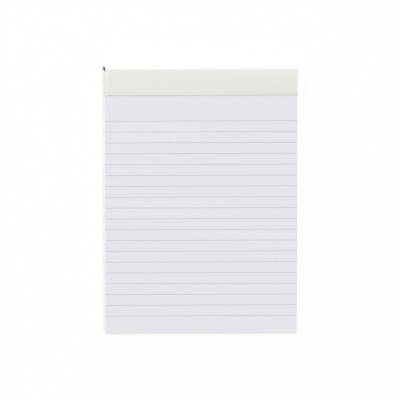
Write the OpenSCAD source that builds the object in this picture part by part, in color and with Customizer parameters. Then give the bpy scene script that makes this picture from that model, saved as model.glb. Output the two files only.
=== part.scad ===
// Legal pad: ruled sheets on a backing board, glued along one short edge and bound there by one
// folded strip of paper tape. It lies on its back with the writing face up. The bound edge points
// to +Y, and the origin is under the middle of the whole pad.

/* [Sheets] */
// Width of a sheet
sheet_w = 148; // [100:1:220]
// Height of a sheet, from its free edge to its bound edge
sheet_h = 210; // [150:1:320]
// Thickness of one sheet
sheet_t = 0.1; // [0.06:0.01:0.16]
// Number of sheets in the pad
sheet_count = 100; // [20:1:150]

/* [Tear line] */
// Length of one slit
slit_l = 0.9; // [0.4:0.1:1.5]
// Width of one slit
slit_w = 0.12; // [0.08:0.01:0.3]
// Paper left between two slits
slit_bridge = 0.7; // [0.3:0.1:2]
// Distance of the tear line from the front edge of the tape
tear_gap = 0.5; // [0.2:0.1:3]

/* [Board] */
// Thickness of the backing board
board_t = 0.9; // [0.5:0.1:2]

/* [Binding] */
// Thickness of the glue on the bound edges, which is also the rounding of its corners
glue_t = 0.5; // [0.2:0.1:1]
// Thickness of the tape
tape_t = 0.18; // [0.1:0.01:0.4]
// Reach of the tape over the writing face, from the outside of its fold
front_flap = 20.8; // [10:0.1:40]
// Reach of the tape over the back of the board, from the outside of its fold
back_flap = 20.8; // [10:0.1:40]
// How far the tape stops short of the sheets' left edge
tape_inset = 2.7; // [0:0.1:4]
// How far the tape runs past the sheets' right edge
tape_overhang = 0.5; // [0:0.1:2]

/* [Ruling] */
// Distance from one rule to the next
rule_pitch = 8.6; // [5:0.1:12]
// Width of a rule
rule_w = 0.3; // [0.1:0.05:0.8]
// Thickness drawn for the ink of a rule
ink_t = 0.04; // [0.02:0.01:0.1]
// Distance from the front edge of the tape to the first rule
head_space = 20.5; // [8:0.1:60]
// Least blank height below the last rule
foot_space = 14; // [5:0.5:40]

/* [Hidden] */
$fn = 64;

// Colours as the photograph shows them
paper_colour = [0.90, 0.906, 0.922];
board_colour = [0.62, 0.58, 0.52];
glue_colour = [0.14, 0.12, 0.12];
tape_colour = [0.91, 0.912, 0.886];
ink_colour = [0.72, 0.73, 0.755];

// Overall size, and the edges of the sheets in it
pad_w = sheet_w + tape_overhang;
pad_h = sheet_h + glue_t + tape_t;
left_x = -pad_w / 2;
foot_y = -pad_h / 2;
fold_y = pad_h / 2;
bound_y = foot_y + sheet_h;

// Levels from the floor up: the back flap, the board, the sheets and the writing face
sheets_t = sheet_count * sheet_t;
stack_t = board_t + sheets_t;
board_z = tape_t;
sheets_z = board_z + board_t;
face_z = sheets_z + sheets_t;

// The tape across the pad
tape_x = left_x + tape_inset;
tape_w = pad_w - tape_inset;
tape_front_y = fold_y - front_flap;
tape_back_y = fold_y - back_flap;

// The tear line: as many whole slits as fit across a sheet, centred on it
slit_step = slit_l + slit_bridge;
slit_count = floor((sheet_w - slit_bridge) / slit_step);
slit_row_l = slit_count * slit_step - slit_bridge;
slit_x = left_x + (sheet_w - slit_row_l) / 2;
tear_y = tape_front_y - tear_gap;

// The rules: as many as fit between the blank head and the blank foot
first_rule_y = tape_front_y - head_space;
rule_count = floor((first_rule_y - foot_y - foot_space) / rule_pitch) + 1;

// Surplus by which a cut passes through the faces that it opens
cut = 1;

// A section of the pad, drawn as [Y, Z], run along X from x for a length of w
module along_x(x, w) {
    translate([x, 0, 0])
        rotate([90, 0, 90])
            linear_extrude(w)
                children();
}

// The end of a stack of thickness t, with a reach of r and both its corners rounded by r
module rounded_end(r, t) {
    translate([0, r])
        square([r, t - 2 * r]);
    intersection() {
        square([r, t]);
        union() {
            translate([0, r])
                circle(r);
            translate([0, t - r])
                circle(r);
        }
    }
}

// Section of the glue on the bound edges
module glue_section() {
    translate([bound_y, board_z])
        rounded_end(glue_t, stack_t);
}

module writing_sheets() {
    color(paper_colour)
        difference() {
            translate([left_x, foot_y, sheets_z])
                cube([sheet_w, sheet_h, sheets_t]);
            for (i = [0 : slit_count - 1])
                translate([slit_x + i * slit_step, tear_y - slit_w, sheets_z - cut])
                    cube([slit_l, slit_w, sheets_t + 2 * cut]);
        }
}

module backing_board() {
    color(board_colour)
        translate([left_x, foot_y, board_z])
            cube([sheet_w, sheet_h, board_t]);
}

module spine_glue() {
    color(glue_colour)
        along_x(left_x, sheet_w)
            glue_section();
}

// One strip: the front flap, the spine round the glue, and the back flap
module binding_tape() {
    color(tape_colour)
        along_x(tape_x, tape_w) {
            difference() {
                translate([bound_y, 0])
                    rounded_end(glue_t + tape_t, stack_t + 2 * tape_t);
                glue_section();
            }
            translate([tape_front_y, face_z])
                square([bound_y - tape_front_y, tape_t]);
            translate([tape_back_y, 0])
                square([bound_y - tape_back_y, tape_t]);
        }
}

module ruled_lines() {
    color(ink_colour)
        for (i = [0 : rule_count - 1])
            translate([left_x, first_rule_y - i * rule_pitch - rule_w / 2, face_z])
                cube([sheet_w, rule_w, ink_t]);
}

writing_sheets();
backing_board();
spine_glue();
binding_tape();
ruled_lines();
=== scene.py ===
# %% [markdown]
# A legal pad lies on its back on a white table: ruled sheets on a backing board, glued along one
# short edge and bound there with a folded strip of pale tape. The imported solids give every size
# and place. This lesson models each piece again with the detail of paper, glue and card, gives it
# a finish made of nodes, and lights the pad as in a small studio. Blender works in metres, so a
# named millimetre keeps the numbers readable.

# %% Load the frame
import math
import random

import bmesh
import bpy
from mathutils import Color, Matrix, Vector


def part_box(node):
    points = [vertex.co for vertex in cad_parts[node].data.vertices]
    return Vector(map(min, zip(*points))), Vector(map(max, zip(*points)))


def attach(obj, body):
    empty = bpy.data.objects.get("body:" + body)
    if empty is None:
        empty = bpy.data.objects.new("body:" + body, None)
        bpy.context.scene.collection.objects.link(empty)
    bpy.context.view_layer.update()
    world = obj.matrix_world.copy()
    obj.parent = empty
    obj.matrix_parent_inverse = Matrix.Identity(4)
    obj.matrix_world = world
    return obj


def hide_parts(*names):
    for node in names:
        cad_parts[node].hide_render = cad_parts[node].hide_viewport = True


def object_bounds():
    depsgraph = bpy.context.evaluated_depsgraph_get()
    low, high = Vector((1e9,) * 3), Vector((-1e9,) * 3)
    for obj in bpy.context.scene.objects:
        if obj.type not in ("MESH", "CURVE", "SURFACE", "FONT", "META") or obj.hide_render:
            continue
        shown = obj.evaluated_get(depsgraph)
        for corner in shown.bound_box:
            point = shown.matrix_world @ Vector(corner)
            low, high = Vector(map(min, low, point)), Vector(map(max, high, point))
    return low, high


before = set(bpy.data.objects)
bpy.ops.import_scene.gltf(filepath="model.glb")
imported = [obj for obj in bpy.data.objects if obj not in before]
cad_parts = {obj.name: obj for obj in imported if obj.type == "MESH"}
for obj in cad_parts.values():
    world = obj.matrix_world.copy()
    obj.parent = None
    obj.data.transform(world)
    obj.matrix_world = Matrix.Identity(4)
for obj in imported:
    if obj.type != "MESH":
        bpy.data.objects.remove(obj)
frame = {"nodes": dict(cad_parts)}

MM = 0.001

cad_low, cad_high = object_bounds()
print("solids of the pad:", ", ".join(frame["nodes"]))
print("pad box in mm:", [round(side / MM, 2) for side in cad_high - cad_low])

# %% [markdown]
# Every size that the box of a solid can give is read from it, so the looks can't drift away from
# the construction. Only what a box can't tell, such as the length of a slit or the play between
# leaves, is a value of its own.

# %% Sizes taken from the solids
sheets_low, sheets_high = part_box("writing_sheets")
board_low, board_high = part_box("backing_board")
glue_low, glue_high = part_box("spine_glue")
tape_low, tape_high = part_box("binding_tape")
rules_low, rules_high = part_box("ruled_lines")

face_z = sheets_high.z
bound_y = sheets_high.y
sheet_w = sheets_high.x - sheets_low.x
block_t = face_z - sheets_low.z
tape_t = tape_high.z - face_z
glue_t = glue_high.y - glue_low.y
print("sheet width, block and tape thickness in mm:",
      [round(size / MM, 3) for size in (sheet_w, block_t, tape_t)])

# %% [markdown]
# The photograph looks almost straight down, from a little beyond the bound edge and a hair to the
# left, so that the spine and the left side show as narrow bands. It is nearly free of
# perspective, which means a far camera with a long lens. The camera is built from two tilts, and
# it aims at the pad's middle, so it needs no shift.

# %% The camera
FRAME_WIDTH = 304.35 * MM
CAMERA_DISTANCE = 7.0
CAMERA_REACH = 50.0
TILT_TO_BOUND_EDGE = math.radians(16.673)
TILT_TO_LEFT = math.radians(0.75)
CAMERA_AIM = Vector((-0.029 * MM, -0.192 * MM, face_z / 2))

towards_camera = Vector((
    -math.sin(TILT_TO_LEFT) * math.cos(TILT_TO_BOUND_EDGE),
    math.sin(TILT_TO_BOUND_EDGE),
    math.cos(TILT_TO_LEFT) * math.cos(TILT_TO_BOUND_EDGE),
)).normalized()
picture_up = (Vector((0, 1, 0)) - towards_camera * towards_camera.y).normalized()
picture_right = picture_up.cross(towards_camera)

camera_data = bpy.data.cameras.new("photo_camera")
camera_data.lens = camera_data.sensor_width * CAMERA_DISTANCE / FRAME_WIDTH
camera_data.clip_end = CAMERA_REACH
camera = bpy.data.objects.new("photo_camera", camera_data)
bpy.context.scene.collection.objects.link(camera)
camera_turn = Matrix((picture_right, picture_up, towards_camera)).transposed().to_4x4()
camera_place = Matrix.Translation(CAMERA_AIM + towards_camera * CAMERA_DISTANCE)
camera.matrix_world = camera_place @ camera_turn
bpy.context.scene.camera = camera
print("lens in mm:", round(camera_data.lens, 1))

# %% [markdown]
# Each piece starts as a bmesh and ends as an object at the origin, with its place in its mesh.
# One helper does that last step for all of them: it names the object, says which body it rides
# on, which solid it stands for and which finish it takes, and rounds the shading of soft bends
# while hard edges stay crisp.

# %% A helper that turns a bmesh into a piece
SHARP_ANGLE = math.radians(35)


def finish_piece(bm, name, node, slot, *materials):
    """Make the bmesh an object that stands for one solid of the pad."""
    mesh = bpy.data.meshes.new(name)
    bm.to_mesh(mesh)
    bm.free()
    mesh.shade_smooth()
    mesh.set_sharp_from_angle(angle=SHARP_ANGLE)
    for material in materials:
        mesh.materials.append(material)
    piece = bpy.data.objects.new(name, mesh)
    bpy.context.scene.collection.objects.link(piece)
    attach(piece, "root")
    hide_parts(node)
    triangles = sum(len(face.vertices) - 2 for face in mesh.polygons)
    print(name, "stands for", node, "with", triangles, "triangles")


print("edges that turn by more than", round(math.degrees(SHARP_ANGLE)), "degrees stay crisp")

# %% [markdown]
# The finishes come from nodes, and a few helpers keep them short. Two of them fill an input with
# a value or a link, and add a node with all its inputs. A colour could be given in linear light,
# which shaders use, but nobody reads that off a photograph. So it is written as the eye sees it,
# from 0 to 255, and turned into linear light here.

# %% Helpers that add nodes
FULL_TONE = 255
MIDDLE_TONE = 128


def linear(red, green, blue):
    """A colour as seen on a screen, turned into linear light with full alpha."""
    seen = Color((red / FULL_TONE, green / FULL_TONE, blue / FULL_TONE))
    return (*seen.from_srgb_to_scene_linear(), 1.0)


def fill(tree, socket, value):
    """Give a socket a value, or a link where the value is itself a socket."""
    if isinstance(value, bpy.types.NodeSocket):
        tree.links.new(value, socket)
    else:
        socket.default_value = value


def add_node(tree, kind, inputs=None, **settings):
    """Add a node, apply its settings and fill its inputs."""
    made = tree.nodes.new(kind)
    for name, value in settings.items():
        setattr(made, name, value)
    for name, value in (inputs or {}).items():
        fill(tree, made.inputs[name], value)
    return made


print("a middle grey in linear light:", round(linear(*[MIDDLE_TONE] * 3)[0], 3))

# %% [markdown]
# The next helpers each stand for one node that comes back again and again: a sum, a blend, a
# range of values spread over another range, a cloudy noise, and a place split into its three
# coordinates. With them a finish reads like a recipe. The Mix node carries sockets for every kind
# of data side by side, so a small table keeps the numbers of the ones that are used here.

# %% Helpers that work with values
BLEND_SOCKETS = {"RGBA": (6, 7, 2), "FLOAT": (2, 3, 0)}


def calc(tree, operation, *values):
    """The result of an operation on one or two values."""
    made = add_node(tree, "ShaderNodeMath", dict(enumerate(values)), operation=operation)
    return made.outputs[0]


def blend(tree, factor, first, second, kind="RGBA"):
    """What lies between two colours or values: the first at factor 0, the second at 1."""
    first_input, second_input, output = BLEND_SOCKETS[kind]
    inputs = {0: factor, first_input: first, second_input: second}
    return add_node(tree, "ShaderNodeMix", inputs, data_type=kind).outputs[output]


def spread(tree, value, low, high, to_low=0.0, to_high=1.0):
    """A value whose range from low to high is spread over another range, and held at its ends."""
    made = add_node(tree, "ShaderNodeMapRange", {
        "Value": value, "From Min": low, "From Max": high, "To Min": to_low, "To Max": to_high})
    return made.outputs["Result"]


def noise(tree, place, scale, **more):
    """A cloudy value, with the other inputs of its node by name."""
    inputs = {"Vector": place, "Scale": scale, **more}
    return add_node(tree, "ShaderNodeTexNoise", inputs).outputs["Fac"]


def split(tree, place):
    """The X, Y and Z of a place."""
    return add_node(tree, "ShaderNodeSeparateXYZ", {"Vector": place}).outputs


print("kinds of blend:", ", ".join(BLEND_SOCKETS))

# %% [markdown]
# Paper, ink, tape and board all show felted fibres: short strands that lie every way, and soft
# clouds where the pulp settled thicker. It could be painted in each material, but four of them
# share it, so it is one node group. Its inputs set how fine the strands and clouds are, and it
# puts out a tone and a height that each material uses with its own strength.

# %% The fibre group
VALUE = "NodeSocketFloat"
PLACE = "NodeSocketVector"
COLOUR = "NodeSocketColor"
NOISE_CORE = (0.3, 0.7)
STRAND_NOISE = {"Detail": 4.0, "Roughness": 0.62, "Distortion": 1.4}
CLOUD_NOISE = {"Detail": 2.0}
STRAND_SHARE = 0.5


def start_group(name, inputs, outputs):
    """A node group with named inputs and outputs: the group, and what its inputs bring."""
    group = bpy.data.node_groups.new(name, "ShaderNodeTree")
    for side, sockets in (("INPUT", inputs), ("OUTPUT", outputs)):
        for socket_name, kind in sockets.items():
            group.interface.new_socket(socket_name, in_out=side, socket_type=kind)
    return group, group.nodes.new("NodeGroupInput").outputs


fibre, fibre_in = start_group(
    "felted_fibre", {"Place": PLACE, "Strands": VALUE, "Clouds": VALUE},
    {"Tone": VALUE, "Height": VALUE})
strand_noise = noise(fibre, fibre_in["Place"], fibre_in["Strands"], **STRAND_NOISE)
cloud_noise = noise(fibre, fibre_in["Place"], fibre_in["Clouds"], **CLOUD_NOISE)
fibre_tone = blend(fibre, STRAND_SHARE, spread(fibre, cloud_noise, *NOISE_CORE),
                   spread(fibre, strand_noise, *NOISE_CORE), "FLOAT")
add_node(fibre, "NodeGroupOutput", {"Tone": fibre_tone, "Height": strand_noise})
print("fibre group:", [socket.name for socket in fibre.interface.items_tree])


def fibres(tree, place, strands, clouds):
    """The tone and height of the fibres, at a material's own fineness."""
    made = add_node(tree, "ShaderNodeGroup", {
        "Place": place, "Strands": strands, "Clouds": clouds}, node_tree=fibre)
    return made.outputs["Tone"], made.outputs["Height"]


# %% [markdown]
# Two marks lie next to the binding. Along the front edge of the tape and beside its left end the
# paper is painted darker, dark at the step and fainter farther out: this is painted shade where the
# tape's edge shades the paper. And a little of the dark glue has crept from the bound edge over the
# upper leaves. They could be painted on the page alone, but on the real pad they run down its side
# too. So they are a node group that takes a clean colour and gives back the marked one. It works
# from the place on the pad, so a mark stays with the tape and the glue.

# %% The marks beside the binding
# Painted shade: a darker colour laid along the tape's front edge and beside its left end, where the
# tape's edge shades the paper.
PAINTED_SHADE = linear(176, 174, 170)
SHADE_FAR_REACH = 3.2 * MM
SHADE_FAR_SHARE = 0.12
GLUE_STAIN = linear(56, 50, 50)
CREEP_REACH = 2.3 * MM
CREEP_FULL = 0.5 * MM
CREEP_LEVELS = (4.0 * MM, 7.5 * MM)

marks, marks_in = start_group(
    "binding_shade_and_glue_stain",
    {"Place": PLACE, "Colour": COLOUR, "Reach": VALUE, "Shade": VALUE, "Creep": VALUE},
    {"Colour": COLOUR})
marks_xyz = split(marks, marks_in["Place"])


def near_tape(reach):
    """1 at the tape, falling to 0 at a reach before its front edge or beside its left end."""
    before = spread(marks, marks_xyz["Y"], calc(marks, "SUBTRACT", tape_low.y, reach), tape_low.y)
    beside = spread(marks, marks_xyz["X"], calc(marks, "SUBTRACT", tape_low.x, reach), tape_low.x)
    return calc(marks, "MINIMUM", before, beside)


# The mask of the painted shade: strong at the step of the tape, with a fainter wide tail.
painted_shade_mask = blend(marks, SHADE_FAR_SHARE, near_tape(marks_in["Reach"]), near_tape(SHADE_FAR_REACH),
                  "FLOAT")
creep_ahead = spread(marks, marks_xyz["Y"], bound_y - CREEP_REACH, bound_y - CREEP_FULL)
creep_up = spread(marks, marks_xyz["Z"], *[sheets_low.z + level for level in CREEP_LEVELS])
creep_mask = calc(marks, "MULTIPLY", creep_ahead, creep_up)
shaded_colour = blend(marks, calc(marks, "MULTIPLY", painted_shade_mask, marks_in["Shade"]), marks_in["Colour"], PAINTED_SHADE)
stained = blend(marks, calc(marks, "MULTIPLY", creep_mask, marks_in["Creep"]), shaded_colour, GLUE_STAIN)
add_node(marks, "NodeGroupOutput", {"Colour": stained})
print("mark group:", [socket.name for socket in marks.interface.items_tree])


def with_marks(tree, place, colour, reach, shade_strength, creep):
    """A colour with the painted shade and the glue stain over it: the reach of the shade, and the
    strength of both.
    """
    made = add_node(tree, "ShaderNodeGroup", {
        "Place": place, "Colour": colour, "Reach": reach, "Shade": shade_strength, "Creep": creep},
        node_tree=marks)
    return made.outputs["Colour"]


# %% [markdown]
# Every finish starts with a Principled shader and a place on the piece, in Object coordinates.
# The colour, the roughness and the relief change over the surface, so they come from nodes. The
# gloss is the same everywhere, so it is set on the shader itself, where an export finds it too.

# %% What every finish shares
def start_material(name):
    """A material with a Principled shader: the material, its tree, the shader and its place."""
    material = bpy.data.materials.new(name)
    material.use_nodes = True
    tree = material.node_tree
    tree.nodes.clear()
    shader = add_node(tree, "ShaderNodeBsdfPrincipled")
    add_node(tree, "ShaderNodeOutputMaterial", {"Surface": shader.outputs["BSDF"]})
    place = add_node(tree, "ShaderNodeTexCoord").outputs["Object"]
    return material, tree, shader, place


def coat(tree, shader, colour, tone, rough, gloss):
    """Give a shader its colour, a roughness that follows a tone, and an even gloss."""
    fill(tree, shader.inputs["Base Color"], colour)
    fill(tree, shader.inputs["Roughness"], spread(tree, tone, 0.0, 1.0, *rough))
    shader.inputs["Specular IOR Level"].default_value = gloss


def relief(tree, shader, height, strength, depth):
    """A bump of the given depth in metres on a shader."""
    bump = add_node(tree, "ShaderNodeBump", {
        "Height": height, "Strength": strength, "Distance": depth})
    fill(tree, shader.inputs["Normal"], bump.outputs["Normal"])


print("node groups to share:", [group.name for group in (fibre, marks)])

# %% [markdown]
# The sheets are smooth white writing paper, a little blue. Seen close, the fibres give it a faint
# cloudy tone and a dull, finely uneven surface. A picture of paper would repeat or blur, so the
# fibres are used as they are, with a fine strand and a cloud of a millimetre or two.

# %% The finish of the paper
PAPER_DEEP = linear(226, 228, 232)
PAPER_PALE = linear(234, 235, 240)
PAPER_STRANDS = 1800.0
PAPER_CLOUDS = 700.0
# Reach and strength of the painted shade by the tape on the page.
PAPER_SHADE_REACH = 0.9 * MM
PAPER_SHADE = 0.43
PAPER_CREEP = 0.3
PAPER_ROUGH = (0.78, 0.9)
PAPER_GLOSS = 0.08
PAPER_RELIEF = (0.4, 0.02 * MM)

paper, paper_tree, paper_shader, paper_place = start_material("writing_paper")
paper_tone, paper_height = fibres(paper_tree, paper_place, PAPER_STRANDS, PAPER_CLOUDS)
clean_paper = blend(paper_tree, paper_tone, PAPER_DEEP, PAPER_PALE)
used_paper = with_marks(paper_tree, paper_place, clean_paper, PAPER_SHADE_REACH, PAPER_SHADE,
                        PAPER_CREEP)
coat(paper_tree, paper_shader, used_paper, paper_tone, PAPER_ROUGH, PAPER_GLOSS)
relief(paper_tree, paper_shader, paper_height, *PAPER_RELIEF)
print(paper.name, "nodes:", len(paper_tree.nodes))

# %% [markdown]
# The trimmed sides of the block show the leaves one by one: each has its own slightly different
# tone, and the knife has left fine streaks. The level, counted in leaves, picks the tone, so a line
# of shade doesn't run across two leaves. The painted shade and the glue stain beside the binding
# lie on the left side, where the tape stops short, so they are held to that half of the pad.

# %% The finish of the trimmed sides
LEAF_COUNT = 100
SIDE_DEEP = linear(221, 220, 218)
SIDE_PALE = linear(240, 239, 238)
KNIFE_STREAKS = (600.0, 600.0, 60.0)
KNIFE_NOISE = {"Detail": 3.0}
STREAK_SHARE = 0.4
# Reach and strength of the painted shade beside the tape's left end, carried down the left side.
SIDE_SHADE_REACH = 1.6 * MM
SIDE_SHADE = 0.35
SIDE_CREEP = 1.0
SIDE_ROUGH = (0.95, 0.85)
SIDE_GLOSS = 0.05
SIDE_RELIEF = (0.3, 0.03 * MM)

trimmed, side_tree, side_shader, side_place = start_material("trimmed_sides")
side_xyz = split(side_tree, side_place)
leaf_number = spread(side_tree, side_xyz["Z"], sheets_low.z, face_z, 0.0, LEAF_COUNT)
leaf_tone = add_node(side_tree, "ShaderNodeTexWhiteNoise", {
    "W": calc(side_tree, "FLOOR", leaf_number)}, noise_dimensions="1D").outputs["Value"]
knife_place = add_node(side_tree, "ShaderNodeMapping", {
    "Vector": side_place, "Scale": KNIFE_STREAKS}).outputs["Vector"]
knife_streaks = noise(side_tree, knife_place, 1.0, **KNIFE_NOISE)
side_tone = blend(side_tree, STREAK_SHARE, leaf_tone, knife_streaks, "FLOAT")
clean_side = blend(side_tree, side_tone, SIDE_DEEP, SIDE_PALE)
left_half = calc(side_tree, "LESS_THAN", side_xyz["X"], 0.0)
left_shade, left_creep = [calc(side_tree, "MULTIPLY", left_half, strength)
                         for strength in (SIDE_SHADE, SIDE_CREEP)]
used_side = with_marks(side_tree, side_place, clean_side, SIDE_SHADE_REACH, left_shade, left_creep)
coat(side_tree, side_shader, used_side, side_tone, SIDE_ROUGH, SIDE_GLOSS)
relief(side_tree, side_shader, knife_streaks, *SIDE_RELIEF)
leaf_pitch = block_t / LEAF_COUNT
print(trimmed.name, "leaf pitch in mm:", round(leaf_pitch / MM, 3))

# %% [markdown]
# The rules are printed in a thin grey ink. Real ink breaks up a little on the paper's fibres, so
# its tone wavers along the line.

# %% The finish of the ink
INK_DEEP = linear(172, 174, 181)
INK_PALE = linear(191, 193, 199)
INK_STRANDS = 2600.0
INK_CLOUDS = 220.0
INK_ROUGH = (0.7, 0.85)
INK_GLOSS = 0.08
INK_RELIEF = (0.2, 0.01 * MM)

ink, ink_tree, ink_shader, ink_place = start_material("rule_ink")
ink_tone, ink_height = fibres(ink_tree, ink_place, INK_STRANDS, INK_CLOUDS)
ink_colour = blend(ink_tree, ink_tone, INK_DEEP, INK_PALE)
coat(ink_tree, ink_shader, ink_colour, ink_tone, INK_ROUGH, INK_GLOSS)
relief(ink_tree, ink_shader, ink_height, *INK_RELIEF)
print(ink.name, "nodes:", len(ink_tree.nodes))

# %% [markdown]
# The tape is a pale ivory binding paper with a fine pressed grain. It is a shade greener towards
# the front edge, which is its own tint. Its colour is also painted darker towards the front edge
# and lighter up to the fold and over the spine, which is painted light from the lamp beyond the
# bound edge. Its two cut ends are painted near white: the worn white core, and at the left end also
# a painted highlight where the rubbed end catches the lamp. All of that follows from the place on
# the strip, so it is blended step by step along Y, and then along X.

# %% The colours of the tape
# Painted light: these colours grow lighter from the front edge to the fold and the spine; only the
# greener tint at the front edge is the tape's own.
TAPE_FRONT_EDGE = linear(228, 231, 224)
TAPE_FOLD = linear(237, 236, 232)
TAPE_SPINE = linear(237, 237, 236)
TAPE_SHADE = linear(222, 223, 216)
TAPE_SOIL = (0.12, 0.0)
# Near white at both cut ends: the worn white core, and at the left end also a painted highlight
# where the rubbed end catches the lamp.
TAPE_CORE_AND_HIGHLIGHT = linear(250, 250, 247)
WORN_AND_HIGHLIT_REACH = 0.7 * MM
TAPE_STRANDS = 1500.0
TAPE_CLOUDS = 500.0
TAPE_ROUGH = (0.55, 0.7)
TAPE_GLOSS = 0.15

tape_finish, tape_tree, tape_shader, tape_place = start_material("binding_paper")
tape_xyz = split(tape_tree, tape_place)
up_the_flap = spread(tape_tree, tape_xyz["Y"], tape_low.y, bound_y)
round_the_fold = spread(tape_tree, tape_xyz["Y"], bound_y, tape_high.y)
flap_colour = blend(tape_tree, up_the_flap, TAPE_FRONT_EDGE, TAPE_FOLD)
tape_tint_and_light = blend(tape_tree, round_the_fold, flap_colour, TAPE_SPINE)
tape_tone, tape_height = fibres(tape_tree, tape_place, TAPE_STRANDS, TAPE_CLOUDS)
tape_soil = spread(tape_tree, tape_tone, 0.0, 1.0, *TAPE_SOIL)
soiled_tape = blend(tape_tree, tape_soil, tape_tint_and_light, TAPE_SHADE)
tape_middle = (tape_low.x + tape_high.x) / 2
tape_half = (tape_high.x - tape_low.x) / 2
off_middle = calc(tape_tree, "ABSOLUTE", calc(tape_tree, "SUBTRACT", tape_xyz["X"], tape_middle))
worn_and_highlit_ends = spread(tape_tree, off_middle, tape_half - WORN_AND_HIGHLIT_REACH, tape_half)
worn_and_highlit_tape = blend(tape_tree, worn_and_highlit_ends, soiled_tape, TAPE_CORE_AND_HIGHLIGHT)
coat(tape_tree, tape_shader, worn_and_highlit_tape, tape_tone, TAPE_ROUGH, TAPE_GLOSS)
print(tape_finish.name, "from", round(tape_low.x / MM, 2), "to", round(tape_high.x / MM, 2), "mm")

# %% [markdown]
# A roller has pressed a fine slanted grain into the tape. It is far too fine to model, so it is a
# bump: two crossed waves, broken up by the fibres so that they don't read as a printed grid. The
# scale of a Wave node isn't its number of waves, so a named value turns the pitch into it.

# %% The grain of the tape
GRAIN_PITCH = 0.45 * MM
GRAIN_ANGLES = (math.radians(45), math.radians(-45))
GRAIN_WAVE = {"Distortion": 2.0, "Detail": 1.0, "Detail Scale": 2.0}
WAVES_PER_SCALE = math.pi / 10
TAPE_RELIEF = (0.22, 0.03 * MM)

grain_waves = []
for angle in GRAIN_ANGLES:
    turned = add_node(tape_tree, "ShaderNodeMapping", {
        "Vector": tape_place, "Rotation": (0.0, 0.0, angle)}).outputs["Vector"]
    wave = add_node(tape_tree, "ShaderNodeTexWave", {
        "Vector": turned, "Scale": WAVES_PER_SCALE / GRAIN_PITCH, **GRAIN_WAVE})
    grain_waves.append(wave.outputs["Fac"])
crossed_waves = calc(tape_tree, "MULTIPLY", *grain_waves)
pressed_grain = calc(tape_tree, "ADD", crossed_waves, tape_height)
relief(tape_tree, tape_shader, pressed_grain, *TAPE_RELIEF)
print(tape_finish.name, "nodes:", len(tape_tree.nodes))

# %% [markdown]
# The backing board is grey chipboard, pressed from mixed waste paper, so it is warm grey with
# dark flecks. It hardly shows in the photograph, and it gets the finish that such pads have.

# %% The finish of the board
BOARD_DEEP = linear(146, 136, 122)
BOARD_PALE = linear(176, 167, 152)
BOARD_FLECK = linear(104, 96, 88)
BOARD_STRANDS = 700.0
BOARD_CLOUDS = 60.0
FLECK_SCALE = 420.0
FLECK_NOISE = {"Detail": 2.0, "Distortion": 2.5}
FLECK_RANGE = (0.66, 0.72)
FLECK_SHARE = 0.7
BOARD_ROUGH = (0.8, 0.95)
BOARD_GLOSS = 0.08
BOARD_RELIEF = (0.5, 0.05 * MM)

chipboard, board_tree, board_shader, board_place = start_material("chipboard")
board_tone, board_height = fibres(board_tree, board_place, BOARD_STRANDS, BOARD_CLOUDS)
board_ground = blend(board_tree, board_tone, BOARD_DEEP, BOARD_PALE)
fleck_noise = noise(board_tree, board_place, FLECK_SCALE, **FLECK_NOISE)
fleck_mask = spread(board_tree, fleck_noise, *FLECK_RANGE, 0.0, FLECK_SHARE)
flecked_board = blend(board_tree, fleck_mask, board_ground, BOARD_FLECK)
coat(board_tree, board_shader, flecked_board, board_tone, BOARD_ROUGH, BOARD_GLOSS)
relief(board_tree, board_shader, board_height, *BOARD_RELIEF)
print(chipboard.name, "nodes:", len(board_tree.nodes))

# %% [markdown]
# The dried glue is a dark, rubbery film, dull in its hollows and shinier on its crests. One noise
# gives the lumps, and the same noise drives the tone, the shine and the relief, so that all three
# agree as they do on a real skin of glue.

# %% The finish of the glue
GLUE_DEEP = linear(30, 25, 26)
GLUE_PALE = linear(52, 44, 45)
LUMP_SCALE = 900.0
LUMP_NOISE = {"Detail": 3.0}
GLUE_ROUGH = (0.85, 0.6)
GLUE_GLOSS = 0.1
GLUE_RELIEF = (0.5, 0.08 * MM)

glue_finish, glue_tree, glue_shader, glue_place = start_material("dried_glue")
glue_lumps = noise(glue_tree, glue_place, LUMP_SCALE, **LUMP_NOISE)
glue_colour = blend(glue_tree, glue_lumps, GLUE_DEEP, GLUE_PALE)
coat(glue_tree, glue_shader, glue_colour, glue_lumps, GLUE_ROUGH, GLUE_GLOSS)
relief(glue_tree, glue_shader, glue_lumps, *GLUE_RELIEF)
print(glue_finish.name, "nodes:", len(glue_tree.nodes))

# %% [markdown]
# The pieces are cut from boxes and sheets with planes, as card and paper are cut with a knife.
# Three helpers do that: one makes a box between two corners, one cuts chosen faces at a place on
# an axis, and one cuts a whole piece into equal parts, so that it gets points to bend or roughen.

# %% Helpers for cutting
AXES = (0, 1, 2)
X, Y, Z = AXES
TINY = 0.001 * MM
SNAP = 0.0001 * MM


def add_box(bm, low, high):
    """Add a box between two corners."""
    size = Matrix.Diagonal((*(high - low), 1))
    bmesh.ops.create_cube(bm, size=1, matrix=Matrix.Translation((low + high) / 2) @ size)


def cut_at(bm, faces, axis, place):
    """Cut the given faces where they cross a place on an axis."""
    point = [place if number == axis else 0.0 for number in AXES]
    normal = [1.0 if number == axis else 0.0 for number in AXES]
    edges = {edge for face in faces for edge in face.edges}
    verts = {vert for face in faces for vert in face.verts}
    bmesh.ops.bisect_plane(bm, geom=[*faces, *edges, *verts], plane_co=point, plane_no=normal,
                           dist=SNAP)


def cut_evenly(bm, axis, low, high, parts):
    """Cut a whole bmesh into equal parts between two places on an axis."""
    for number in range(1, parts):
        cut_at(bm, bm.faces[:], axis, low + (high - low) * number / parts)


print("boxes and cuts are exact to", TINY / MM, "mm")

# %% [markdown]
# Just below the tape the sheets have a tear line: a row of short slits with bridges of paper
# between them, centred across the sheet. The solids have it too, and the same few lengths place it
# here. The left side of the block leans in towards the top, because a soft block gives way under
# the trimming knife, so the slits that would fall off the narrower top leaf are left out.

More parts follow.
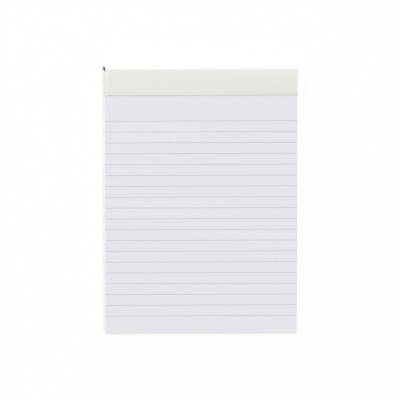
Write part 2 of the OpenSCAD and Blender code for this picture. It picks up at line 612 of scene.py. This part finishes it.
# %% Where the slits lie
TEAR_GAP = 0.5 * MM
SLIT_LENGTH = 0.9 * MM
SLIT_WIDTH = 0.12 * MM
SLIT_BRIDGE = 0.7 * MM
SIDE_LEAN = 2.15 * MM

tear_top = tape_low.y - TEAR_GAP
tear_foot = tear_top - SLIT_WIDTH
slit_step = SLIT_LENGTH + SLIT_BRIDGE
slit_count = math.floor((sheet_w - SLIT_BRIDGE) / slit_step)
slit_margin = (sheet_w - slit_count * slit_step + SLIT_BRIDGE) / 2
slits_lost = math.ceil((SIDE_LEAN + SLIT_BRIDGE - slit_margin) / slit_step)
slit_starts = [sheets_low.x + slit_margin + number * slit_step
               for number in range(slits_lost, slit_count)]
print("slits across a leaf:", len(slit_starts), "of the", slit_count, "in the solid")

# %% [markdown]
# A single block would look like a slab, so the sheets are modelled leaf by leaf. A leaf starts as
# one flat face: a grid of one cell, whose size is given as half its side. Planes cut a narrow row
# across it for the tear line, and cut that row into slits and bridges. Then the slits are deleted.

# %% One leaf with its tear line
HALF_SIDE = 0.5


def faces_in_band(bm, low_y, high_y):
    """The faces that lie wholly between two heights on the sheet."""
    return [face for face in bm.faces
            if all(low_y - TINY < vert.co.y < high_y + TINY for vert in face.verts)]


leaf = bmesh.new()
bmesh.ops.create_grid(leaf, x_segments=1, y_segments=1, size=HALF_SIDE)
bmesh.ops.scale(leaf, vec=(sheet_w, bound_y - sheets_low.y, 1), verts=leaf.verts)
bmesh.ops.translate(leaf, vec=(sheets_low + sheets_high) / 2, verts=leaf.verts)
for place in (tear_top, tear_foot):
    cut_at(leaf, leaf.faces[:], Y, place)
for start in slit_starts:
    for place in (start, start + SLIT_LENGTH):
        cut_at(leaf, faces_in_band(leaf, tear_foot, tear_top), X, place)
slits = [face for face in faces_in_band(leaf, tear_foot, tear_top)
         if any(0 < face.calc_center_median().x - start < SLIT_LENGTH for start in slit_starts)]
bmesh.ops.delete(leaf, geom=slits, context="FACES")
print("slits cut in the leaf:", len(slits))

# %% [markdown]
# The leaf is still flat and has no points to bend at. Subdividing it would cut up the tear line as
# well, so a few more planes cut only the part below that line. Solidify then turns the face into
# thin paper with real holes. It is kept as a mesh, and every leaf with slits starts from it.

# %% Points to bend at, and the thickness of paper
LEAF_FULLNESS = 0.94
BEND_CUTS_ACROSS = 10
BEND_CUTS_ALONG = 14

leaf_t = LEAF_FULLNESS * leaf_pitch
for number in range(1, BEND_CUTS_ACROSS):
    place = sheets_low.x + sheet_w * number / BEND_CUTS_ACROSS
    cut_at(leaf, faces_in_band(leaf, sheets_low.y, tear_foot), X, place)
for number in range(1, BEND_CUTS_ALONG):
    place = sheets_low.y + (tear_foot - sheets_low.y) * number / BEND_CUTS_ALONG
    cut_at(leaf, faces_in_band(leaf, sheets_low.y, tear_foot), Y, place)
bmesh.ops.solidify(leaf, geom=leaf.faces[:], thickness=leaf_t)
bmesh.ops.recalc_face_normals(leaf, faces=leaf.faces[:])
leaf_top = max(vert.co.z for vert in leaf.verts)
bmesh.ops.translate(leaf, vec=(0, 0, -leaf_top), verts=leaf.verts)
leaf_mesh = bpy.data.meshes.new("leaf_with_tear_line")
leaf.to_mesh(leaf_mesh)
leaf.free()
print("leaf:", round(leaf_t / MM, 3), "mm thick,", len(leaf_mesh.polygons), "faces")

# %% [markdown]
# A soft block gives way under the trimming knife, so its left side leans in towards the top. Its
# upper leaves also lift very slightly towards the free corners, as on any pad that has been leafed
# through. Both could be sculpted on the finished block, but the rules and the glue have to follow
# them too. So they are helpers that give the lean and the lift at any place.

# %% The lean and the lift of the block
CORNER_LIFT = 0.14 * MM
LIFT_REACH = 75 * MM
LIFT_AT_MIDDLE = 0.35


def share(value, low, high):
    """How far a value has come from low to high, held between 0 and 1."""
    return min(1.0, max(0.0, (value - low) / (high - low)))


def lean(z):
    """How far the left side lies inwards of the lowest leaf at a level."""
    return SIDE_LEAN * share(z, sheets_low.z, face_z)


def corner_lift(x, y):
    """How far the top leaf rises above the flat."""
    near_foot = 1 - share(y, sheets_low.y, sheets_low.y + LIFT_REACH)
    off_centre = (x - sheets_low.x) / sheet_w * 2 - 1
    return CORNER_LIFT * near_foot ** 2 * (LIFT_AT_MIDDLE + (1 - LIFT_AT_MIDDLE) * off_centre ** 2)


print("lift at a free corner in mm:", round(corner_lift(sheets_low.x, sheets_low.y) / MM, 3))

# %% [markdown]
# The knife that trims a pad leaves no two leaves quite flush. So each edge of a leaf is drawn in
# by its own few hundredths of a millimetre, and in bundles of a dozen by a little more. On the
# left the play is smaller, and the lean comes on top of it. The play is drawn at random, from a
# fixed seed, so that every run gives the same pad.

# %% How a leaf takes its place in the block
LEAF_PLAY = 0.04 * MM
LEFT_PLAY = 0.015 * MM
BUNDLE_PLAY = 0.07 * MM
BUNDLE = 12
SLIT_LEAVES = 24
PLAY_SEED = 11

rng = random.Random(PLAY_SEED)
bundle_play = [(rng.uniform(0, BUNDLE_PLAY), rng.uniform(0, BUNDLE_PLAY))
               for _ in range(math.ceil(LEAF_COUNT / BUNDLE))]


def place_leaf(verts, number):
    """Move a leaf's points to its level, draw in its three trimmed edges and lift its corners."""
    left_play = rng.uniform(0, LEFT_PLAY)
    right_play, foot_play = [play + rng.uniform(0, LEAF_PLAY)
                             for play in bundle_play[number // BUNDLE]]
    rank = share(number, LEAF_COUNT - 1 - SLIT_LEAVES, LEAF_COUNT - 1)
    for vert in verts:
        vert.co.z += sheets_low.z + (number + 1) * leaf_pitch
        if vert.co.x < sheets_low.x + TINY:
            vert.co.x += left_play + lean(vert.co.z)
        if vert.co.x > sheets_high.x - TINY:
            vert.co.x -= right_play
        if vert.co.y < sheets_low.y + TINY:
            vert.co.y += foot_play
        vert.co.z += corner_lift(vert.co.x, vert.co.y) * rank ** 2


print("bundles:", len(bundle_play), "and leaves that lift:", SLIT_LEAVES)

# %% [markdown]
# Outside Blender the finishes are baked into pictures, and a map says where on its picture each
# face lies. An automatic map gives every face a patch of its own. Then the edges of a hundred
# leaves get far less than a pixel each, and take on the tone of whatever lies next to them. So
# the block brings its own map. Each side of the block fills a band across the picture, and all
# its other faces, which hardly show, share the rest.

# %% Where a point lies on the map
BLOCK_SIDES = ((X, -1), (X, 1), (Y, -1), (Y, 1))
BAND_HEIGHT = 0.2
BAND_FILL = 0.95

rest_low = BAND_HEIGHT * len(BLOCK_SIDES)


def map_place(point, band):
    """Where a point lies on the map: in its band, or in the rest."""
    across = share(point.x, sheets_low.x, sheets_high.x)
    along = share(point.y, sheets_low.y, bound_y)
    up = share(point.z, sheets_low.z, face_z)
    if band is None:
        return across, rest_low + (1 - rest_low) * along
    facing = BLOCK_SIDES[band][0]
    return along if facing == X else across, BAND_HEIGHT * (band + BAND_FILL * up)


print("bands of the map:", len(BLOCK_SIDES), "and a rest of", round(1 - rest_low, 2))

# %% [markdown]
# A face stands on a side of the block if its normal points out of that side. The walls of the slits
# point the same ways but lie inside, so they go to the rest. The map takes the name below.

# %% A map for the block
MAP_NAME = "OFBake"
UPRIGHT = 0.5


def side_band(face):
    """The band of a face that stands on a side of the block, or None for a flat one."""
    for band, (axis, sign) in enumerate(BLOCK_SIDES):
        if sign * face.normal[axis] > UPRIGHT:
            return band
    return None


def lay_out(bm):
    """Give the leaves their map."""
    layer = bm.loops.layers.uv.new(MAP_NAME)
    bm.normal_update()
    slit_walls = set(faces_in_band(bm, tear_foot, tear_top))
    for face in bm.faces:
        band = None if face in slit_walls else side_band(face)
        for loop in face.loops:
            loop[layer].uv = map_place(loop.vert.co, band)
    print("faces on the map:", len(bm.faces))


print("faces are upright where their normal's Z is below", UPRIGHT)

# %% [markdown]
# The slits are real only in the upper leaves, because nobody can see deeper into a slit that is
# narrower than a hair, and the leaves below them are plain. The top sheet is a piece of its own,
# since it is the writing face and everything printed lies on it. On both pieces, the faces that
# stand upright take the finish of the trimmed sides.

# %% The block of leaves and the top sheet
def add_leaf(bm, number):
    """Add one leaf of the block, with slits where it lies near the top."""
    made_before = len(bm.verts)
    if number >= LEAF_COUNT - SLIT_LEAVES:
        bm.from_mesh(leaf_mesh)
    else:
        add_box(bm, Vector((sheets_low.x, sheets_low.y, -leaf_t)),
                Vector((sheets_high.x, sheets_high.y, 0)))
    bm.verts.ensure_lookup_table()
    place_leaf(bm.verts[made_before:], number)


def finish_leaves(bm, name):
    """Give the upright faces the trimmed finish, and make the leaves a piece."""
    bm.normal_update()
    for face in bm.faces:
        face.material_index = 1 if abs(face.normal.z) < UPRIGHT else 0
    finish_piece(bm, name, "writing_sheets", "paper", paper, trimmed)


block = bmesh.new()
for number in range(LEAF_COUNT - 1):
    add_leaf(block, number)
lay_out(block)
finish_leaves(block, "sheet_leaves")

top_leaf = bmesh.new()
add_leaf(top_leaf, LEAF_COUNT - 1)
finish_leaves(top_leaf, "top_sheet")

# %% [markdown]
# The rules lie on the top sheet and run from edge to edge. They could be drawn in the paper's
# finish, but as thin strips of ink they stay sharp at any size. Each strip is a flat box, cut
# across often enough to follow the lift of the sheet under it.

# %% The printed rules
RULE_COUNT = 19
RULE_WIDTH = 0.3 * MM
RULE_PARTS = 24
RULE_SINK = 0.006 * MM
RULE_PROUD = 0.01 * MM
RULE_MARGIN = 0.12 * MM

rule_left = sheets_low.x + SIDE_LEAN + RULE_MARGIN
rule_right = sheets_high.x - RULE_MARGIN
rule_pitch = (rules_high.y - rules_low.y - RULE_WIDTH) / (RULE_COUNT - 1)
lines = bmesh.new()
for number in range(RULE_COUNT):
    rule_foot = rules_low.y + number * rule_pitch
    add_box(lines, Vector((rule_left, rule_foot, face_z - RULE_SINK)),
            Vector((rule_right, rule_foot + RULE_WIDTH, face_z + RULE_PROUD)))
cut_evenly(lines, X, rule_left, rule_right, RULE_PARTS)
for vert in lines.verts:
    vert.co.z += corner_lift(vert.co.x, vert.co.y)
finish_piece(lines, "printed_rules", "ruled_lines", "ink", ink)
print("rule pitch in mm:", round(rule_pitch / MM, 3))

# %% [markdown]
# The board is a slab cut from a larger sheet. Its edges are slightly crushed and furred by the
# knife. So the slab is cut into many parts, its edges are bevelled, and the points along them are
# drawn in by uneven amounts.

# %% The backing board
BOARD_PARTS = 48
BOARD_BEVEL = 0.12 * MM
BOARD_BEVEL_STEPS = 2
BOARD_FUR = 0.05 * MM

board_middle = (board_low + board_high) / 2
board_half = (board_high - board_low) / 2
slab = bmesh.new()
add_box(slab, board_low, board_high)
for axis in (X, Y):
    cut_evenly(slab, axis, board_low[axis], board_high[axis], BOARD_PARTS)
rims = [edge for edge in slab.edges if edge.calc_face_angle(0) > SHARP_ANGLE]
bmesh.ops.bevel(slab, geom=rims, offset=BOARD_BEVEL, offset_type="OFFSET", affect="EDGES",
                segments=BOARD_BEVEL_STEPS, profile=0.5, material=-1)
for vert in slab.verts:
    for axis in (X, Y):
        from_middle = vert.co[axis] - board_middle[axis]
        if abs(from_middle) > board_half[axis] - BOARD_BEVEL:
            vert.co[axis] -= math.copysign(rng.uniform(0, BOARD_FUR), from_middle)
finish_piece(slab, "chipboard_back", "backing_board", "board", chipboard)

# %% [markdown]
# The glue is brushed on the bound edges before the tape, so it is a thin film with rounded
# corners. A curve with a bevel could give that section too, but a box has flat ends and closes
# itself. It is bevelled along its two outer edges and cut into many parts, so that there are
# points to move in the next step.

# %% The film of glue
GLUE_PARTS_ACROSS = 120
GLUE_PARTS_UP = 12
GLUE_ROUNDING = 0.98
GLUE_ROUND_STEPS = 6

film = bmesh.new()
add_box(film, glue_low, glue_high)
long_rims = [edge for edge in film.edges
             if all(vert.co.y > glue_high.y - TINY for vert in edge.verts)
             and abs(edge.verts[0].co.x - edge.verts[1].co.x) > TINY]
bmesh.ops.bevel(film, geom=long_rims, offset=GLUE_ROUNDING * glue_t, offset_type="OFFSET",
                affect="EDGES", segments=GLUE_ROUND_STEPS, profile=0.5, material=-1)
cut_evenly(film, X, glue_low.x, glue_high.x, GLUE_PARTS_ACROSS)
cut_evenly(film, Z, glue_low.z + glue_t, glue_high.z - glue_t, GLUE_PARTS_UP)
print("points of the film:", len(film.verts))

# %% [markdown]
# Glue from a brush is never even. Behind the tape the film fills the whole spine. Its left end
# shows beside the tape only in the upper half, where the brush left it ragged and thin and a
# little short of the corner. So the points are moved: the outside is drawn in unevenly, and near
# the left end they are pushed along, the lower ones farther.

# %% The uneven film
GLUE_HOLLOW = 0.1 * MM
GLUE_WAVER = 0.05 * MM
GLUE_THIN_REACH = 1.6 * MM
GLUE_END_THIN = 0.25 * MM
GLUE_END_REACH = 10 * MM
GLUE_END_SHORT = 0.4 * MM
GLUE_END_HIDDEN = 3.2 * MM
GLUE_END_LEVELS = (3.3 * MM, 4.5 * MM)
GLUE_END_LEAN = 0.2
GLUE_END_RAG = 0.25 * MM

for vert in film.verts:
    x, y, z = vert.co
    proud = share(y, glue_low.y, glue_high.y)
    thinned = GLUE_END_THIN * (1 - share(x, glue_low.x, glue_low.x + GLUE_THIN_REACH))
    vert.co.y -= proud * (GLUE_HOLLOW + thinned + rng.uniform(0, GLUE_WAVER))
    shows = share(z, *GLUE_END_LEVELS)
    end_short = shows * GLUE_END_SHORT + (1 - shows) * GLUE_END_HIDDEN
    end_short += GLUE_END_LEAN * lean(z) + rng.uniform(0, GLUE_END_RAG)
    vert.co.x += end_short * (1 - share(x, glue_low.x, glue_low.x + GLUE_END_REACH))
finish_piece(film, "spine_glue_film", "spine_glue", "glue", glue_finish)

# %% [markdown]
# The tape is one strip folded round the bound edge. A curve with a bevel could give it, but folds
# of paper are sharp and even, which extrude and spin do exactly. Its section is drawn first, as a
# path: a vertex is extruded along the front flap, spun round the fold, extruded down the spine,
# spun again and extruded along the back flap.

# %% The section of the strip
FLAP_STEPS = 16
SPINE_STEPS = 12
FOLD_STEPS = 8
QUARTER_TURN = math.radians(90)

fold_r = glue_t + tape_t
strip = bmesh.new()


def run(start, end, steps):
    """Extrude the last point of the path in equal steps to the end point."""
    step = (end - start.co) / steps
    point = start
    for _ in range(steps):
        made = bmesh.ops.extrude_vert_indiv(strip, verts=[point])
        bmesh.ops.translate(strip, vec=step, verts=made["verts"])
        point = made["verts"][0]
    return point


def fold(start, centre):
    """Spin the last point of the path a quarter turn about the fold's centre."""
    made = bmesh.ops.spin(strip, geom=[start], cent=centre, axis=(1, 0, 0),
                          angle=-QUARTER_TURN, steps=FOLD_STEPS)
    return next(item for item in made["geom_last"] if isinstance(item, bmesh.types.BMVert))


strip_x = tape_low.x
tip = strip.verts.new((strip_x, tape_low.y, tape_high.z))
tip = run(tip, Vector((strip_x, bound_y, tape_high.z)), FLAP_STEPS)
tip = fold(tip, (strip_x, bound_y, tape_high.z - fold_r))
tip = run(tip, Vector((strip_x, tape_high.y, tape_low.z + fold_r)), SPINE_STEPS)
tip = fold(tip, (strip_x, bound_y, tape_low.z + fold_r))
run(tip, Vector((strip_x, tape_low.y, tape_low.z)), FLAP_STEPS)
section_length = sum(edge.calc_length() for edge in strip.edges)
print("strip before folding, width in mm:", round(section_length / MM, 2))

# %% [markdown]
# The section is now extruded across the pad, a row at a time. The rows lie closer together at the
# left end, because that end will be rubbed down and spread.

# %% The strip across the pad
STRIP_STEPS = 72
END_STEPS = (0.2 * MM, 0.45 * MM, 0.8 * MM, 1.3 * MM)

strip_length = tape_high.x - tape_low.x
even_step = (strip_length - END_STEPS[-1]) / STRIP_STEPS
stations = [*END_STEPS]
stations += [END_STEPS[-1] + even_step * number for number in range(1, STRIP_STEPS + 1)]
row = strip.edges[:]
reached = 0.0
for station in stations:
    made = bmesh.ops.extrude_edge_only(strip, edges=row)["geom"]
    row_verts = [item for item in made if isinstance(item, bmesh.types.BMVert)]
    bmesh.ops.translate(strip, vec=(station - reached, 0, 0), verts=row_verts)
    row = [item for item in made if isinstance(item, bmesh.types.BMEdge)
           and all(vert in row_verts for vert in item.verts)]
    reached = station
print("strip before thickness:", len(strip.faces), "faces")

# %% [markdown]
# Solidify gives the strip the same thickness everywhere, as folded paper has. It grows the wall
# on one side, so the outside has to point outwards first.

# %% The thickness of the strip
bmesh.ops.recalc_face_normals(strip, faces=strip.faces[:])
front_face = max(strip.faces, key=lambda face: face.calc_center_median().z)
if front_face.normal.z < 0:
    bmesh.ops.reverse_faces(strip, faces=strip.faces[:])
bmesh.ops.solidify(strip, geom=strip.faces[:], thickness=tape_t)
bmesh.ops.recalc_face_normals(strip, faces=strip.faces[:])
print("strip with its thickness:", len(strip.faces), "faces")

# %% [markdown]
# The binder works the tape down by hand. The front edge and the left end are rubbed with a folder
# until they slope to the page, the left end spreads where it is pressed on the spine, and the spine
# follows the uneven leaves behind it. Sculpting would do that too, but moving the points by rule
# can be repeated: they sink near an edge, and in two slow waves along the spine.

# %% The working of the strip
RUB_END = (0.8 * MM, 0.11 * MM)
RUB_EDGE = (0.35 * MM, 0.03 * MM)
END_SPREAD = 0.4 * MM
SPINE_RIPPLE = 0.06 * MM
LONG_RIPPLE = 9 * MM
SHORT_RIPPLE = 3.7 * MM
RIPPLE_START = 1.3


def rubbed(distance, reach, depth):
    """How far the outside is rubbed down at a distance from an edge."""
    return depth * (1 - share(distance, 0.0, reach))


def ripple(x, z):
    """How far the spine sinks at a place along it: nothing at its two folds."""
    height = share(z, tape_low.z, tape_high.z)
    waves = math.sin(x / LONG_RIPPLE) * math.sin(x / SHORT_RIPPLE + RIPPLE_START)
    return SPINE_RIPPLE * (1 + waves) / 2 * math.sin(math.pi * height)


for vert in strip.verts:
    x, y, z = vert.co
    if z > tape_high.z - tape_t / 2 and y < bound_y:
        vert.co.z -= max(rubbed(x - tape_low.x, *RUB_END), rubbed(y - tape_low.y, *RUB_EDGE))
    elif y > bound_y + glue_t / 2:
        vert.co.y -= ripple(x, z)
    at_left_end = 1 - share(x, tape_low.x, tape_low.x + END_STEPS[-1])
    vert.co.x -= END_SPREAD * at_left_end * share(y, bound_y, bound_y + fold_r)
finish_piece(strip, "binding_strip", "binding_tape", "tape", tape_finish)

# %% [markdown]
# The table is plain white. The camera sees it as white paper that still takes a little of the
# pad's shadow, while the light that bounces off it stays natural: that is what the light path is
# for. More light on the table would make it white too, but it would bleach the pad.

# %% The white of the table
TABLE_WHITE = (0.94, 0.94, 0.94, 1.0)
PURE_WHITE = (1.0, 1.0, 1.0, 1.0)
SHADOW_SHARE = 0.05


def seen_directly(tree):
    """1 where a ray comes from the camera, or by way of gloss or glass."""
    path = add_node(tree, "ShaderNodeLightPath").outputs
    seen = calc(tree, "MAXIMUM", path["Is Camera Ray"], path["Is Glossy Ray"])
    return calc(tree, "MAXIMUM", seen, path["Is Transmission Ray"])


table_finish = bpy.data.materials.new("table_white")
table_finish.use_nodes = True
table_tree = table_finish.node_tree
table_tree.nodes.clear()
lit_white = add_node(table_tree, "ShaderNodeBsdfDiffuse", {"Color": TABLE_WHITE})
plain_white = add_node(table_tree, "ShaderNodeEmission", {"Color": PURE_WHITE, "Strength": 1.0})
plain_share = calc(table_tree, "MULTIPLY", seen_directly(table_tree), 1 - SHADOW_SHARE)
mixed_white = add_node(table_tree, "ShaderNodeMixShader", {
    0: plain_share, 1: lit_white.outputs[0], 2: plain_white.outputs[0]})
add_node(table_tree, "ShaderNodeOutputMaterial", {"Surface": mixed_white.outputs[0]})
print(table_finish.name, "keeps this share of the shadow:", SHADOW_SHARE)

# %% [markdown]
# The table itself is one large face. A slab would only add sides that nobody sees. It lies a hair
# below the pad, so that the two faces don't flicker.

# %% The table
TABLE_SIZE = 12.0
TABLE_DROP = 0.05 * MM

table_z = cad_low.z - TABLE_DROP
table_bm = bmesh.new()
bmesh.ops.create_grid(table_bm, x_segments=1, y_segments=1, size=TABLE_SIZE / 2)
bmesh.ops.translate(table_bm, vec=(0, 0, table_z), verts=table_bm.verts)
table_mesh = bpy.data.meshes.new("white_table")
table_bm.to_mesh(table_mesh)
table_bm.free()
table_mesh.materials.append(table_finish)
table = bpy.data.objects.new("white_table", table_mesh)
bpy.context.scene.collection.objects.link(table)
print("table at", round(table_z / MM, 3), "mm")

# %% [markdown]
# The world is an even white room. It gives the pad about two thirds of its light, from all sides,
# which keeps the shadows soft. Where it is seen directly it is plain white, like the table.

# %% The world
WORLD_LIGHT = 0.66

world = bpy.data.worlds.new("studio")
world.use_nodes = True
bpy.context.scene.world = world
world_tree = world.node_tree
world_tree.nodes.clear()
world_strength = spread(world_tree, seen_directly(world_tree), 0.0, 1.0, WORLD_LIGHT, 1.0)
sky = add_node(world_tree, "ShaderNodeBackground", {
    "Color": PURE_WHITE, "Strength": world_strength})
add_node(world_tree, "ShaderNodeOutputWorld", {"Surface": sky.outputs[0]})
print("light of the world:", WORLD_LIGHT)

# %% [markdown]
# One large soft lamp stands far off, beyond the bound edge and to the left, and fairly low. It
# makes the spine the brightest face, lights the left side, and leaves a fine shadow along the
# front edge of the tape. From so far away it lights the whole page evenly. Its strength and the
# world's together make a colour render about as it is written.

# %% The lamp
LAMP_SIZE = 5.0
LAMP_DISTANCE = 10.0
LAMP_FROM_ZENITH = math.radians(56)
LAMP_AZIMUTH = math.radians(133)
LAMP_POWER = 620.0

lamp_data = bpy.data.lights.new("soft_window", "AREA")
lamp_data.shape = "SQUARE"
lamp_data.size = LAMP_SIZE
lamp_data.energy = LAMP_POWER
lamp = bpy.data.objects.new("soft_window", lamp_data)
bpy.context.scene.collection.objects.link(lamp)
to_lamp = Vector((math.sin(LAMP_FROM_ZENITH) * math.cos(LAMP_AZIMUTH),
                  math.sin(LAMP_FROM_ZENITH) * math.sin(LAMP_AZIMUTH),
                  math.cos(LAMP_FROM_ZENITH)))
lamp.location = to_lamp * LAMP_DISTANCE
lamp.rotation_mode = "QUATERNION"
lamp.rotation_quaternion = (-to_lamp).to_track_quat("-Z", "Y")
print("lamp at", [round(value, 3) for value in lamp.location])

# %% [markdown]
# Colours are shown as they are, with the plain view transform.

# %% View
bpy.context.scene.view_settings.view_transform = "Standard"
